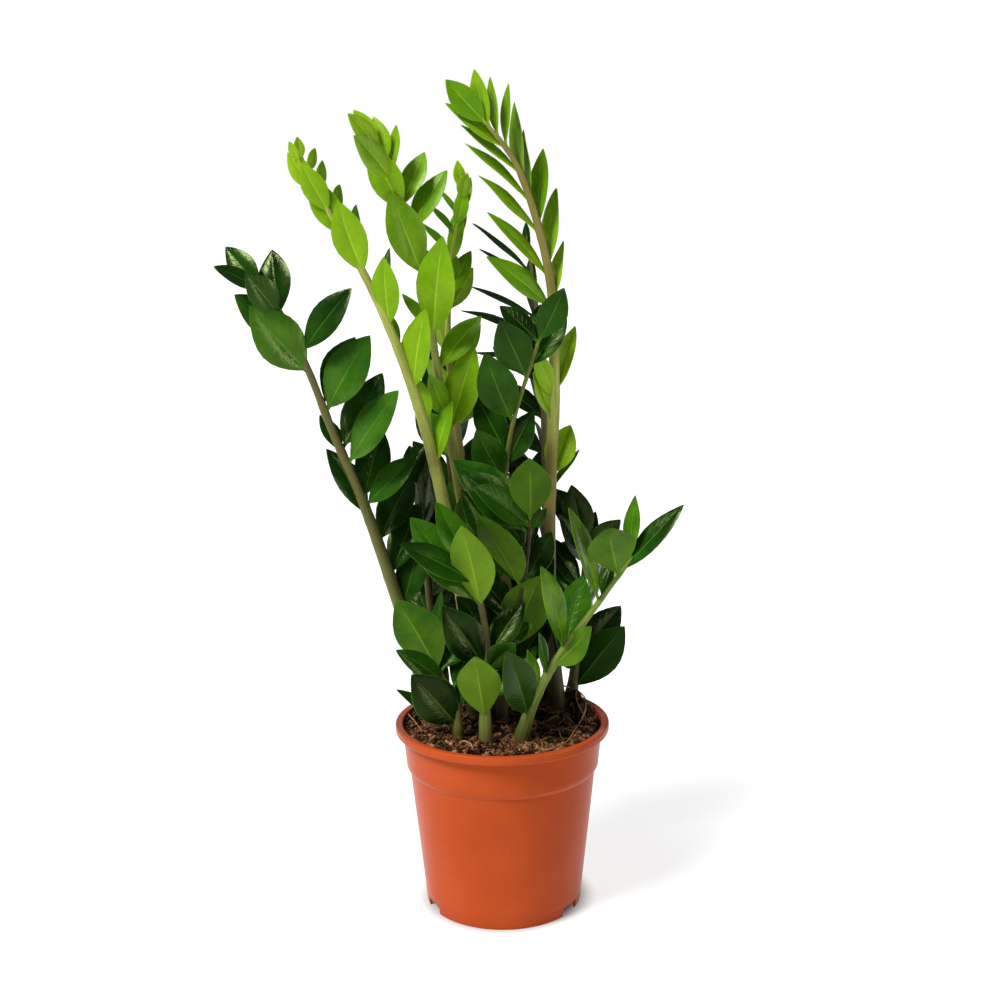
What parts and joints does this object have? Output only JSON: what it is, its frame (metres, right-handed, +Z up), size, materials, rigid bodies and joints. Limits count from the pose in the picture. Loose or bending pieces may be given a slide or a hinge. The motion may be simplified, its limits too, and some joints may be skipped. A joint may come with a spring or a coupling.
{
  "type": "potted zz plant",
  "caption": "Potted ZZ plant: arching fronds with two ranks of glossy leaflets, standing in soil in a round tapered nursery pot with a rolled lip.",
  "frame": {"origin": "middle of the flat base of the pot, on the surface that it stands on", "axes": "+Z up, -Y towards the front of the plant, +X to its right"},
  "size_m": [0.3442, 0.2152, 0.6488],
  "materials": {
    "pot_plastic": "satin",
    "soil": "matte",
    "young_leaf": "satin",
    "leaf": "satin",
    "old_leaf": "gloss"
  },
  "bodies": {
    "root": {"pot": "pot_plastic", "soil": "soil", "frond_front_low": "leaf", "frond_right_low": "leaf", "frond_left_low": "leaf", "frond_centre": "leaf", "frond_bright_left": "young_leaf", "frond_bright_middle": "young_leaf", "frond_tall_right": "young_leaf", "frond_dark_middle": "leaf", "frond_dark_left": "old_leaf", "frond_bright_back": "young_leaf", "frond_right_back": "old_leaf", "frond_dark_tall": "old_leaf", "frond_left_back": "old_leaf", "frond_rear_left": "old_leaf", "frond_rear": "old_leaf"}
  },
  "joints": []
}
